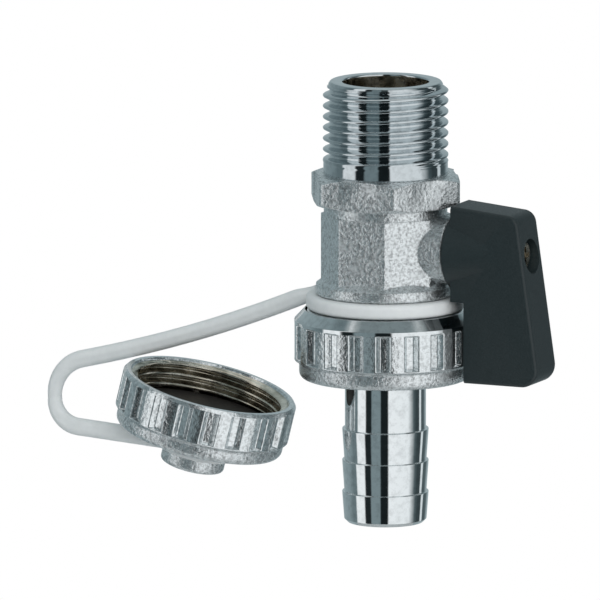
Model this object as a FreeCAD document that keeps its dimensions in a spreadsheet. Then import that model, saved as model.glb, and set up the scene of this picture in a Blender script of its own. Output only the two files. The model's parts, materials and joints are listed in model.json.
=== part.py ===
import FreeCAD, Part
import math
import os
import re
import Sketcher

# Drain cock: a small ball cock with a threaded inlet, a hose tail held by a union nut, and a screw cap on a
# strap. Millimetres, +Z up. The origin is on the flow axis, at the shoulder where the inlet thread meets the
# hexagon. The handle's stem points along +X and the strap leaves the neck along -X.

SIZES = [
    # Inlet and hexagon
    ("inlet_thread_radius", 10.4775, "half-inch pipe thread, major radius"),
    ("inlet_length", 15.5, "shoulder to rim"),
    ("inlet_chamfer", 1.2, "rim chamfer"),
    ("inlet_bore_radius", 7.2, "bore seen from above"),
    ("inlet_bore_floor", 1.5, "shoulder down to the start of the bore's taper"),
    ("inlet_taper", 1.7, "height of the taper down to the port"),
    ("hex_flats", 23.0, "hexagon across flats"),
    ("hex_height", 5.0, "hexagon height"),
    ("hex_land", 0.25, "flat ring left outside the inscribed circle by the hexagon's chamfer"),
    ("hex_chamfer_angle", 30.0, "slope of the hexagon's chamfer, degrees"),
    ("hex_round", 1.2, "rounding of the hexagon's upright edges"),
    # Forged middle, collar and outlet
    ("waist_radius", 10.3, "round neck under the hexagon"),
    ("waist_height", 1.8, "height of that neck"),
    ("octagon_flats", 20.0, "eight-sided middle across flats"),
    ("octagon_height", 10.7, "its height down to the flare"),
    ("octagon_round", 0.6, "rounding of its upright edges"),
    ("flare_height", 1.1, "cone between the middle and the collar"),
    ("collar_radius", 11.6, "collar above the strap"),
    ("collar_height", 1.6, "collar height"),
    ("neck_radius", 11.0, "groove that the strap's ring sits in"),
    ("outlet_thread_radius", 13.2205, "three-quarter-inch pipe thread, major radius"),
    ("outlet_length", 7.0, "length of the outlet thread"),
    ("outlet_chamfer", 0.8, "lead-in of the outlet thread"),
    ("thread_clearance", 0.15, "radial play of a screwed-on piece"),
    # Ball and seats
    ("stem_drop", 12.3, "shoulder to the stem's axis"),
    ("ball_radius", 7.75, "ball"),
    ("port_radius", 5.0, "bore of ball, port and retainer"),
    ("ball_slot_width", 2.4, "slot for the stem's tang"),
    ("ball_slot_floor", 5.3, "ball centre to the slot's floor"),
    ("seat_radius", 7.4, "outside of the seat rings"),
    ("seat_bore_radius", 5.2, "inside of the seat rings"),
    ("seat_front", 4.4, "ball centre to the front of a seat"),
    ("seat_back", 7.6, "ball centre to the back of a seat"),
    ("seat_clearance", 0.08, "gap between ball and seat"),
    ("fit_gap", 0.05, "gap round parts that sit in a bore"),
    ("chamber_radius", 8.1, "ball chamber"),
    ("retainer_radius", 8.95, "outside of the seat retainer"),
    ("retainer_length", 8.0, "length of the seat retainer"),
    ("retainer_lead", 0.3, "how far a seat stands out of the retainer"),
    ("retainer_slot_width", 2.0, "slots for the retainer's tool"),
    ("retainer_slot_depth", 1.6, "depth of those slots"),
    ("retainer_groove_drop", 4.6, "top of the retainer to the middle of its seal groove"),
    ("oring_radius", 0.5, "section radius of the seals"),
    ("oring_side_gap", 0.15, "groove width beyond the seal, each side"),
    # Stem, boss and handle
    ("boss_radius", 5.8, "stem boss on the body"),
    ("boss_reach", 12.6, "flow axis to the end of the boss"),
    ("boss_round", 0.5, "rounding of the boss's rim"),
    ("nose_radius", 4.8, "smaller nose of the boss, inside the handle"),
    ("nose_length", 3.0, "length of the nose"),
    ("stem_radius", 3.4, "stem shaft"),
    ("stem_clearance", 0.05, "running gap round the stem"),
    ("shoulder_radius", 4.4, "blow-out shoulder of the stem"),
    ("shoulder_thickness", 1.2, "thickness of that shoulder"),
    ("shoulder_gap", 0.25, "gap between ball and shoulder"),
    ("thrust_thickness", 0.7, "thrust washer"),
    ("shoulder_clearance", 0.15, "radial gap round shoulder and thrust washer"),
    ("tang_length", 6.4, "tang of the stem, across"),
    ("tang_gap", 0.1, "gap round the tang"),
    ("inner_seal_reach", 11.35, "flow axis to the inner stem seal"),
    ("seal_spacing", 2.5, "distance between the stem seals"),
    ("square_size", 4.6, "square end of the stem"),
    ("square_length", 4.8, "length of the square"),
    ("square_gap", 0.05, "gap round the square"),
    ("running_gap", 0.3, "gap between faces that pass each other"),
    ("handle_thickness", 8.4, "handle"),
    ("handle_rise", 8.1, "stem axis to the top at the inner edge"),
    ("handle_outer_rise", 7.0, "stem axis to the top at the outer edge"),
    ("handle_top_reach", 25.5, "flow axis to the outer edge at the top"),
    ("handle_foot_reach", 29.7, "flow axis to the outer edge at the foot"),
    ("handle_drop", 21.6, "stem axis to the foot"),
    ("handle_step_drop", 8.0, "stem axis to the step over the nut"),
    ("handle_nut_gap", 0.8, "handle to nut"),
    ("handle_top_round", 2.2, "rounding of the outer top corner"),
    ("handle_foot_round", 3.0, "rounding of the outer foot corner"),
    ("handle_edge_round", 0.7, "rounding of the handle's long edges"),
    ("hub_radius", 6.4, "conical hub at the boss"),
    ("hub_tip_radius", 3.9, "conical hub at its outer end"),
    ("hub_length", 10.0, "length of the hub's cone"),
    ("web_thickness", 1.5, "floor of the screw well"),
    ("well_radius", 2.9, "screw well"),
    ("screw_radius", 1.45, "screw shank"),
    ("screw_length", 8.3, "screw shank length"),
    ("screw_head_radius", 2.55, "screw head"),
    ("screw_head_height", 1.8, "screw head height"),
    ("screw_head_round", 0.7, "rounding of the screw head"),
    ("screw_recess_width", 0.8, "arm of the cross recess"),
    ("screw_recess_length", 3.0, "length of the cross recess"),
    ("screw_recess_depth", 1.1, "depth of the cross recess"),
    ("screw_washer_thickness", 0.5, "washer under the screw head"),
    ("screw_hole_gap", 0.2, "gap round the screw in the handle"),
    # Union nut and hose tail
    ("nut_wall", 1.8295, "wall of the union nut outside its thread, with the ribs"),
    ("nut_band_step", 0.8, "ribs to the plain band below them"),
    ("nut_land", 0.15, "flat ring at the nut's top"),
    ("nut_chamfer_height", 1.7, "cone at the nut's top"),
    ("nut_collar", 0.6, "plain ring between that cone and the grooves"),
    ("nut_groove_length", 6.1, "length of the grooves between the ribs"),
    ("nut_groove_depth", 1.1, "depth of those grooves"),
    ("nut_groove_width", 2.5, "width of those grooves"),
    ("nut_rib_slope", 0.5, "height of the slope below the ribs"),
    ("nut_lip", 1.6, "bottom wall of the nut"),
    ("nut_hole_radius", 7.6, "hole for the hose tail"),
    ("nut_foot_round", 2.0, "rounding of the nut's foot"),
    ("rib_count", 20, "ribs on nut and cap"),
    ("tail_washer_thickness", 1.6, "gasket between body and tail"),
    ("tail_washer_bore", 8.6, "inside radius of that gasket"),
    ("tail_flange_gap", 0.6705, "flange of the hose tail to the bore round it"),
    ("tail_flange_thickness", 1.5, "thickness of that flange"),
    ("tail_collar_gap", 0.2, "gap between the tail and the nut's hole"),
    ("tail_neck_radius", 6.76, "hose tail above its barbs"),
    ("tail_neck_length", 8.4, "nut to the first barb"),
    ("tail_bore_radius", 5.2, "bore of the hose tail"),
    ("barb_radius", 7.22, "barbs, widest"),
    ("barb_foot_radius", 6.85, "barbs, narrowest"),
    ("barb_pitch", 5.3, "barb to barb"),
    ("barb_count", 3, "barbs"),
    ("tail_end_round", 0.7, "chamfer at the free end"),
    # Strap
    ("strap_height", 2.5, "ring round the neck, height"),
    ("strap_neck_gap", 0.2, "ring to neck"),
    ("strap_ring_rim", 0.0795, "ring round the neck, past the outlet thread below it"),
    ("strap_face_gap", 0.1, "ring to collar and nut, and small ring to cap"),
    ("strap_round", 0.7, "rounding of the ring's edges"),
    ("strap_band_radius", 1.2, "section radius of the band"),
    ("strap_lift", 0.7, "middle of the ring up to the start of the band"),
    ("strap_slope", 24.0, "fall of the upper run where it leaves the ring, degrees"),
    ("strap_run_bend", 250.0, "radius of the upper run's gentle curve"),
    ("strap_end_slope", 13.5, "fall of the upper run where the turn starts, degrees"),
    ("strap_upper_bend", 6.6, "radius of the upper half of the turn"),
    ("strap_lower_bend", 4.6, "radius of the lower half of the turn"),
    ("strap_leg_slope", 4.0, "fall of the lower run, degrees"),
    ("strap_leg", 21.9, "length of the lower run, to the middle of the small ring"),
    ("small_ring_radius", 6.5, "small ring, outside"),
    ("small_ring_height", 1.8, "small ring, height"),
    ("small_ring_gap", 0.15, "small ring to the cap's nub"),
    # Cap
    ("cap_tilt", 14.2, "lean of the cap's axis, degrees"),
    ("cap_height", 9.3, "cap without its nub"),
    ("cap_floor", 2.2, "bottom wall of the cap"),
    ("cap_wall", 1.4295, "wall of the cap outside its thread, with the ribs"),
    ("cap_band_step", 0.6, "ribs to the plain band at the cap's bottom"),
    ("cap_rim", 0.5, "plain ring at the cap's rim"),
    ("cap_groove_length", 6.0, "length of the grooves between the ribs"),
    ("cap_groove_depth", 0.8, "depth of those grooves"),
    ("cap_groove_width", 2.5, "width of those grooves"),
    ("cap_foot_round", 2.0, "rounding of the cap's bottom"),
    ("cap_washer_gap", 0.4705, "gasket in the cap to the bore round it"),
    ("cap_washer_thickness", 1.8, "thickness of that gasket"),
    ("nub_radius", 4.0, "nub that the small ring turns on"),
    ("nub_head_radius", 5.4, "head of the nub"),
    ("nub_head_height", 2.9, "height of that head"),
    ("nub_head_round", 0.6, "rounding of that head"),
]

doc = FreeCAD.newDocument("drain_cock")
sheet = doc.addObject("Spreadsheet::Sheet", "Sizes")
for row, (alias, value, note) in enumerate(SIZES, start=1):
    sheet.set(f"A{row}", note)
    sheet.set(f"B{row}", str(value))
    sheet.setAlias(f"B{row}", alias)
doc.recompute()

ALIASES = {alias for alias, value, note in SIZES}
WORD = re.compile(r"[a-z][a-z_0-9]*")


# Formulas in the sheet's names

def formula(text):
    """Write a formula in the sheet's aliases the way the document reads it."""
    return WORD.sub(lambda m: "Sizes." + m.group(0) if m.group(0) in ALIASES else m.group(0), str(text))


def number(text):
    """The present value of a formula."""
    return float(sheet.evalExpression(formula(text)))


def bind(thing, prop, text):
    thing.setExpression(prop, formula(text))


# Heights down the flow axis, each worked out from the sizes above it
HEX_BOTTOM = "-hex_height"
OCTAGON_TOP = f"({HEX_BOTTOM} - waist_height)"
OCTAGON_BOTTOM = f"({OCTAGON_TOP} - octagon_height)"
COLLAR_TOP = f"({OCTAGON_BOTTOM} - flare_height)"
COLLAR_BOTTOM = f"({COLLAR_TOP} - collar_height)"
NECK_BOTTOM = f"({COLLAR_BOTTOM} - strap_height - 2 * strap_face_gap)"
OUTLET_END = f"({NECK_BOTTOM} - outlet_length)"
FLANGE_TOP = f"({OUTLET_END} - tail_washer_thickness)"
FLANGE_BOTTOM = f"({FLANGE_TOP} - tail_flange_thickness)"
NUT_BOTTOM = f"({FLANGE_BOTTOM} - nut_lip)"

# Radii of the pieces that screw on to the outlet
SCREWED_BORE = "(outlet_thread_radius + thread_clearance)"
NUT_RADIUS = f"({SCREWED_BORE} + nut_wall)"
NUT_BAND = f"({NUT_RADIUS} - nut_band_step)"
CAP_RADIUS = f"({SCREWED_BORE} + cap_wall)"
CAP_BAND = f"({CAP_RADIUS} - cap_band_step)"
TAIL_FLANGE = f"({SCREWED_BORE} - tail_flange_gap)"
CAP_WASHER = f"({SCREWED_BORE} - cap_washer_gap)"

# The stem's height and the forged middle
STEM_Z = "(-stem_drop)"
RETAINER_TOP = f"({STEM_Z} - seat_front - retainer_lead)"
HEX_CORNER = "(hex_flats / 2 / cos(30 deg))"
OCTAGON_CORNER = "(octagon_flats / 2 / cos(22.5 deg))"
HEX_CHAMFER = f"(({HEX_CORNER} - hex_flats / 2 - hex_land) * tan(hex_chamfer_angle * 1 deg))"

# Places along the stem's axis, counted from the flow axis
SHOULDER_IN = "(ball_radius + shoulder_gap)"
SHOULDER_OUT = f"({SHOULDER_IN} + shoulder_thickness)"
POCKET_END = f"({SHOULDER_OUT} + thrust_thickness)"
NOSE_END = "(boss_reach + nose_length)"
SQUARE_START = f"({NOSE_END} + running_gap)"
SQUARE_END = f"({SQUARE_START} + square_length)"
WEB_IN = f"({SQUARE_END} + running_gap)"
WEB_OUT = f"({WEB_IN} + web_thickness)"
HUB_IN = "(boss_reach + running_gap)"
OUTER_SEAL_REACH = "(inner_seal_reach + seal_spacing)"
GROOVE_HALF = "(oring_radius + oring_side_gap)"
SEAL_ROOT = "(stem_radius - 2 * oring_radius)"

# The strap's run from the neck round its bend to the small ring, in the XZ plane
RING_INSIDE = "(neck_radius + strap_neck_gap)"
RING_OUTSIDE = "(outlet_thread_radius + strap_ring_rim)"
BAND_X = f"(-({RING_INSIDE} + {RING_OUTSIDE}) / 2)"
BAND_Z = f"({COLLAR_BOTTOM} - strap_face_gap - strap_height / 2 + strap_lift)"
RUN_COS = "cos(strap_slope * 1 deg)"
RUN_SIN = "sin(strap_slope * 1 deg)"
LEG_COS = "cos(strap_leg_slope * 1 deg)"
LEG_SIN = "sin(strap_leg_slope * 1 deg)"
END_COS = "cos(strap_end_slope * 1 deg)"
END_SIN = "sin(strap_end_slope * 1 deg)"
MIDDLE_COS = "cos((strap_slope + strap_end_slope) / 2 * 1 deg)"
MIDDLE_SIN = "sin((strap_slope + strap_end_slope) / 2 * 1 deg)"


def along_run(cosine, sine):
    """The place on the gentle curve where its fall has this cosine and sine."""
    return (f"({BAND_X} - strap_run_bend * ({RUN_SIN} - {sine}))",
            f"({BAND_Z} - strap_run_bend * ({cosine} - {RUN_COS}))")


RUN_MIDDLE = along_run(MIDDLE_COS, MIDDLE_SIN)
RUN_END = along_run(END_COS, END_SIN)
TURN = (f"({RUN_END[0]} + strap_upper_bend * ({END_SIN} - 1))",
        f"({RUN_END[1]} - strap_upper_bend * {END_COS})")
LEG_START = (f"({TURN[0]} + strap_lower_bend * (1 - {LEG_SIN}))",
             f"({TURN[1]} - strap_lower_bend * {LEG_COS})")
LEG_LENGTH = "(strap_leg - small_ring_radius + strap_band_radius / 2)"
LEG_END = (f"({LEG_START[0]} + {LEG_LENGTH} * {LEG_COS})", f"({LEG_START[1]} - {LEG_LENGTH} * {LEG_SIN})")
CAP_X = f"({LEG_START[0]} + strap_leg * {LEG_COS})"
CAP_Z = f"({LEG_START[1]} - strap_leg * {LEG_SIN})"


# Helpers for bodies and sketches

def new_body(name):
    body = doc.addObject("PartDesign::Body", name)
    body.Label = name
    return body


def sketch_on(body, name, plane, offset=None):
    """A sketch on one of the body's own origin planes, moved along its normal by a formula."""
    sketch = body.newObject("Sketcher::SketchObject", name)
    support = next(f for f in body.Origin.OriginFeatures if f.Role == plane)
    sketch.AttachmentSupport = (support, [""])
    sketch.MapMode = "FlatFace"
    if offset is not None:
        bind(sketch, "AttachmentOffset.Base.z", offset)
    return sketch


def pin_point(sketch, geometry, end, x, y):
    """Hold one end of a sketch line at a place given by two formulas."""
    for kind, axis, text in (("DistanceX", -2, x), ("DistanceY", -1, y)):
        if str(text) == "0":
            sketch.addConstraint(Sketcher.Constraint("PointOnObject", geometry, end, axis))
        else:
            index = sketch.addConstraint(Sketcher.Constraint(kind, geometry, end, number(text)))
            bind(sketch, f"Constraints[{index}]", text)


def outline(sketch, points):
    """A closed outline of straight sides whose corners are formulas."""
    places = [FreeCAD.Vector(number(x), number(y), 0) for x, y in points]
    first = sketch.GeometryCount
    count = len(points)
    for i in range(count):
        sketch.addGeometry(Part.LineSegment(places[i], places[(i + 1) % count]), False)
    for i in range(count):
        sketch.addConstraint(Sketcher.Constraint("Coincident", first + i, 2, first + (i + 1) % count, 1))
    for i, (x, y) in enumerate(points):
        pin_point(sketch, first + i, 1, x, y)


def circle(sketch, radius, x="0", y="0"):
    centre = FreeCAD.Vector(number(x), number(y), 0)
    index = sketch.addGeometry(Part.Circle(centre, FreeCAD.Vector(0, 0, 1), number(radius)), False)
    pin_point(sketch, index, 3, x, y)
    size = sketch.addConstraint(Sketcher.Constraint("Radius", index, number(radius)))
    bind(sketch, f"Constraints[{size}]", radius)


def rectangle(sketch, x0, x1, y0, y1):
    outline(sketch, [(x0, y0), (x1, y0), (x1, y1), (x0, y1)])


def polygon(sides, corner, turn):
    """Corners of a regular polygon, the first one at the given angle in degrees."""
    angles = [turn + 360.0 * i / sides for i in range(sides)]
    return [(f"{corner} * cos({a} deg)", f"{corner} * sin({a} deg)") for a in angles]


def feature(body, kind, name, sketch, **formulas):
    """Add a sketch-based feature; the named sizes are formulas."""
    thing = body.newObject("PartDesign::" + kind, name)
    thing.Profile = sketch
    for prop, text in formulas.items():
        bind(thing, prop, text)
    return thing


def revolve(body, kind, name, points):
    """Turn an outline drawn as radius and height about the body's Z axis."""
    sketch = sketch_on(body, name + "_profile", "XZ_Plane")
    outline(sketch, points)
    thing = feature(body, kind, name, sketch)
    thing.ReferenceAxis = (sketch, ["V_Axis"])
    thing.Angle = 360
    return thing


def cut_depth(body, name, sketch, length, reverse):
    """A pocket from its sketch plane; it has to take material away."""
    doc.recompute()
    before = body.Shape.Volume
    pocket = feature(body, "Pocket", name, sketch, Length=length)
    pocket.Reversed = reverse
    doc.recompute()
    if not body.Shape.Volume < before - 1e-3:
        raise RuntimeError(f"{name} cuts nothing")
    return pocket


def round_edges(body, name, radius, wanted):
    """Fillet the edges of the body that a test picks."""
    doc.recompute()
    base = body.Tip
    names = [f"Edge{i}" for i, edge in enumerate(base.Shape.Edges, start=1) if wanted(edge)]
    if not names:
        raise RuntimeError(f"{name} finds no edge")
    fillet = body.newObject("PartDesign::Fillet", name)
    fillet.Base = (base, names)
    bind(fillet, "Radius", radius)
    doc.recompute()
    return fillet


def is_ring(edge, radius, height):
    """Whether an edge is a circle round Z of a radius at a height, both formulas."""
    if not isinstance(edge.Curve, Part.Circle):
        return False
    centre = edge.Curve.Center
    near = abs(edge.Curve.Radius - number(radius)) < 1e-4
    return near and abs(centre.z - number(height)) < 1e-4 and math.hypot(centre.x, centre.y) < 1e-4


def is_upright(edge, corner):
    """Whether an edge stands upright at a distance from the Z axis."""
    if not isinstance(edge.Curve, (Part.Line, Part.LineSegment)):
        return False
    a, b = edge.Vertexes[0].Point, edge.Vertexes[-1].Point
    upright = abs(a.x - b.x) + abs(a.y - b.y) < 1e-6
    return upright and abs(math.hypot(a.x, a.y) - number(corner)) < 1e-3


def around(body, name, pocket, count):
    """Repeat a pocket round the body's Z axis."""
    pattern = body.newObject("PartDesign::PolarPattern", name)
    pattern.Originals = [pocket]
    axis = next(f for f in body.Origin.OriginFeatures if f.Role == "Z_Axis")
    pattern.Axis = (axis, [""])
    pattern.Angle = 360
    bind(pattern, "Occurrences", count)
    body.Tip = pattern
    doc.recompute()
    return pattern


def lay_along_x(body):
    """Turn a body that was drawn along Z so that it lies along the stem's axis."""
    body.Placement.Rotation = FreeCAD.Rotation(FreeCAD.Vector(0, 1, 0), 90)
    bind(body, "Placement.Base.z", STEM_Z)


def solid(kind, name, **formulas):
    """A primitive whose sizes are formulas."""
    thing = doc.addObject("Part::" + kind, name)
    for prop, text in formulas.items():
        bind(thing, prop, text)
    return thing


def cut(name, base, tool):
    thing = doc.addObject("Part::Cut", name)
    thing.Base = base
    thing.Tool = tool
    thing.Label = name
    return thing


def place_height(thing, text):
    bind(thing, "Placement.Base.z", text)


def ring(name, outer, inner, bottom, height):
    """A flat ring round the Z axis."""
    disc = solid("Cylinder", name + "_disc", Radius=outer, Height=height)
    hole = solid("Cylinder", name + "_hole", Radius=inner, Height=height)
    place_height(disc, bottom)
    place_height(hole, bottom)
    return cut(name, disc, hole)


def lay_primitive_along_x(thing, start):
    """Lay a primitive along the stem's axis, starting at a reach from the flow axis."""
    thing.Placement.Rotation = FreeCAD.Rotation(FreeCAD.Vector(0, 1, 0), 90)
    bind(thing, "Placement.Base.x", start)
    bind(thing, "Placement.Base.z", STEM_Z)


def stem_ring(name, outer, inner, start, thickness):
    """A flat ring round the stem's axis."""
    disc = solid("Cylinder", name + "_disc", Radius=outer, Height=thickness)
    hole = solid("Cylinder", name + "_hole", Radius=inner, Height=thickness)
    lay_primitive_along_x(disc, start)
    lay_primitive_along_x(hole, start)
    return cut(name, disc, hole)


# Valve body

def make_valve_body():
    body = new_body("valve_body")
    revolve(body, "Revolution", "round_parts", [
        ("0", "inlet_length"),
        ("inlet_thread_radius - inlet_chamfer", "inlet_length"),
        ("inlet_thread_radius", "inlet_length - inlet_chamfer"),
        ("inlet_thread_radius", HEX_BOTTOM),
        ("waist_radius", HEX_BOTTOM),
        ("waist_radius", OCTAGON_TOP),
        ("octagon_flats / 2", OCTAGON_TOP),
        ("octagon_flats / 2", OCTAGON_BOTTOM),
        ("collar_radius", COLLAR_TOP),
        ("collar_radius", COLLAR_BOTTOM),
        ("neck_radius", COLLAR_BOTTOM),
        ("neck_radius", NECK_BOTTOM),
        ("outlet_thread_radius", NECK_BOTTOM),
        ("outlet_thread_radius", f"{OUTLET_END} + outlet_chamfer"),
        ("outlet_thread_radius - outlet_chamfer", OUTLET_END),
        ("0", OUTLET_END),
    ])
    hexagon = sketch_on(body, "hexagon", "XY_Plane", HEX_BOTTOM)
    outline(hexagon, polygon(6, HEX_CORNER, 0))
    feature(body, "Pad", "hexagon_pad", hexagon, Length="hex_height")
    octagon = sketch_on(body, "octagon", "XY_Plane", COLLAR_TOP)
    outline(octagon, polygon(8, OCTAGON_CORNER, 22.5))
    feature(body, "Pad", "octagon_pad", octagon, Length="octagon_height + flare_height")
    boss = sketch_on(body, "boss", "YZ_Plane")
    circle(boss, "boss_radius", "0", STEM_Z)
    feature(body, "Pad", "boss_pad", boss, Length="boss_reach")
    round_edges(body, "hexagon_edges", "hex_round", lambda e: is_upright(e, HEX_CORNER))
    round_edges(body, "octagon_edges", "octagon_round", lambda e: is_upright(e, OCTAGON_CORNER))

    def is_boss_rim(edge):
        flat = isinstance(edge.Curve, Part.Circle) and abs(edge.Curve.Radius - number("boss_radius")) < 1e-4
        return flat and abs(edge.Curve.Center.x - number("boss_reach")) < 1e-4

    round_edges(body, "boss_rim", "boss_round", is_boss_rim)
    nose = sketch_on(body, "nose", "YZ_Plane")
    circle(nose, "nose_radius", "0", STEM_Z)
    feature(body, "Pad", "nose_pad", nose, Length=NOSE_END)
    land = "(hex_flats / 2 + hex_land)"
    revolve(body, "Groove", "hexagon_top_chamfer", [
        (land, "0"), (HEX_CORNER, "0"), (HEX_CORNER, f"-{HEX_CHAMFER}"),
    ])
    revolve(body, "Groove", "hexagon_foot_chamfer", [
        (land, HEX_BOTTOM), (HEX_CORNER, HEX_BOTTOM), (HEX_CORNER, f"{HEX_BOTTOM} + {HEX_CHAMFER}"),
    ])
    taper_top = "(-inlet_bore_floor)"
    pocket_radius = "(seat_radius + fit_gap)"
    retainer_bore = "(retainer_radius + fit_gap)"
    revolve(body, "Groove", "passage", [
        ("0", "inlet_length"),
        ("inlet_bore_radius", "inlet_length"),
        ("inlet_bore_radius", taper_top),
        ("port_radius", f"{taper_top} - inlet_taper"),
        ("port_radius", f"{STEM_Z} + seat_back"),
        (pocket_radius, f"{STEM_Z} + seat_back"),
        (pocket_radius, f"{STEM_Z} + seat_front"),
        ("chamber_radius", f"{STEM_Z} + seat_front"),
        ("chamber_radius", RETAINER_TOP),
        (retainer_bore, RETAINER_TOP),
        (retainer_bore, OUTLET_END),
        ("0", OUTLET_END),
    ])
    hole = sketch_on(body, "stem_hole", "YZ_Plane")
    circle(hole, "stem_radius + stem_clearance", "0", STEM_Z)
    cut_depth(body, "stem_bore", hole, f"{NOSE_END} + running_gap", True)
    pocket = sketch_on(body, "shoulder_pocket", "YZ_Plane")
    circle(pocket, "shoulder_radius + shoulder_clearance", "0", STEM_Z)
    cut_depth(body, "shoulder_bore", pocket, POCKET_END, True)
    return body


# Ball, seats and retainer

def make_ball():
    ball = solid("Sphere", "ball_blank", Radius="ball_radius")
    place_height(ball, STEM_Z)
    bore = solid("Cylinder", "ball_bore", Radius="port_radius", Height="2 * ball_radius")
    place_height(bore, f"{STEM_Z} - ball_radius")
    slot = solid("Box", "ball_slot", Length="ball_radius", Width="2 * ball_radius", Height="ball_slot_width")
    bind(slot, "Placement.Base.x", "ball_slot_floor")
    bind(slot, "Placement.Base.y", "-ball_radius")
    place_height(slot, f"{STEM_Z} - ball_slot_width / 2")
    return cut("ball", cut("bored_ball", ball, bore), slot)


def make_seat(name, bottom):
    blank = ring(name + "_blank", "seat_radius", "seat_bore_radius", bottom, "seat_back - seat_front")
    ball = solid("Sphere", name + "_ball", Radius="ball_radius + seat_clearance")
    place_height(ball, STEM_Z)
    return cut(name, blank, ball)


def make_retainer():
    body = new_body("seat_retainer")
    pocket_radius = "(seat_radius + fit_gap)"
    seat_floor = f"({STEM_Z} - seat_back)"
    groove = f"({RETAINER_TOP} - retainer_groove_drop)"
    groove_root = "(retainer_radius - 2 * oring_radius)"
    bottom = f"({RETAINER_TOP} - retainer_length)"
    revolve(body, "Revolution", "retainer_turned", [
        (pocket_radius, RETAINER_TOP),
        ("retainer_radius", RETAINER_TOP),
        ("retainer_radius", f"{groove} + {GROOVE_HALF}"),
        (groove_root, f"{groove} + {GROOVE_HALF}"),
        (groove_root, f"{groove} - {GROOVE_HALF}"),
        ("retainer_radius", f"{groove} - {GROOVE_HALF}"),
        ("retainer_radius", bottom),
        ("port_radius", bottom),
        ("port_radius", seat_floor),
        (pocket_radius, seat_floor),
    ])
    slot = sketch_on(body, "tool_slot", "XY_Plane", bottom)
    half_slot = "(retainer_slot_width / 2)"
    rectangle(slot, "-retainer_radius", "retainer_radius", f"-{half_slot}", half_slot)
    cut_depth(body, "tool_slots", slot, "retainer_slot_depth", True)
    seal = solid("Torus", "retainer_oring", Radius1=f"{groove_root} + oring_radius", Radius2="oring_radius")
    place_height(seal, groove)
    return [body, seal]


# Stem, its washer and its seals

def make_stem():
    body = new_body("stem")
    shaft = "stem_radius"
    profile = [
        ("0", SHOULDER_IN),
        ("shoulder_radius", SHOULDER_IN),
        ("shoulder_radius", SHOULDER_OUT),
        (shaft, SHOULDER_OUT),
    ]
    for reach in ("inner_seal_reach", OUTER_SEAL_REACH):
        profile += [
            (shaft, f"{reach} - {GROOVE_HALF}"),
            (SEAL_ROOT, f"{reach} - {GROOVE_HALF}"),
            (SEAL_ROOT, f"{reach} + {GROOVE_HALF}"),
            (shaft, f"{reach} + {GROOVE_HALF}"),
        ]
    profile += [(shaft, SQUARE_START), ("0", SQUARE_START)]
    revolve(body, "Revolution", "stem_turned", profile)
    tang_height = "(ball_slot_width / 2 - tang_gap)"
    tang = sketch_on(body, "tang", "XY_Plane", "ball_slot_floor + tang_gap")
    rectangle(tang, f"-{tang_height}", tang_height, "-tang_length / 2", "tang_length / 2")
    feature(body, "Pad", "tang_pad", tang, Length=f"{SHOULDER_IN} - ball_slot_floor - tang_gap")
    square = sketch_on(body, "square", "XY_Plane", SQUARE_START)
    rectangle(square, "-square_size / 2", "square_size / 2", "-square_size / 2", "square_size / 2")
    feature(body, "Pad", "square_pad", square, Length="square_length")
    hole = sketch_on(body, "screw_hole", "XY_Plane", SQUARE_END)
    circle(hole, "screw_radius + fit_gap")
    cut_depth(body, "screw_bore", hole, "screw_length", False)
    lay_along_x(body)
    washer = stem_ring("thrust_washer", "shoulder_radius", "stem_radius + stem_clearance", SHOULDER_OUT,
                       "thrust_thickness")
    pieces = [body, washer]
    for name, reach in (("inner_stem_oring", "inner_seal_reach"), ("outer_stem_oring", OUTER_SEAL_REACH)):
        seal = solid("Torus", name, Radius1=f"{SEAL_ROOT} + oring_radius", Radius2="oring_radius")
        lay_primitive_along_x(seal, reach)
        pieces.append(seal)
    return pieces


# Handle and its screw

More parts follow.
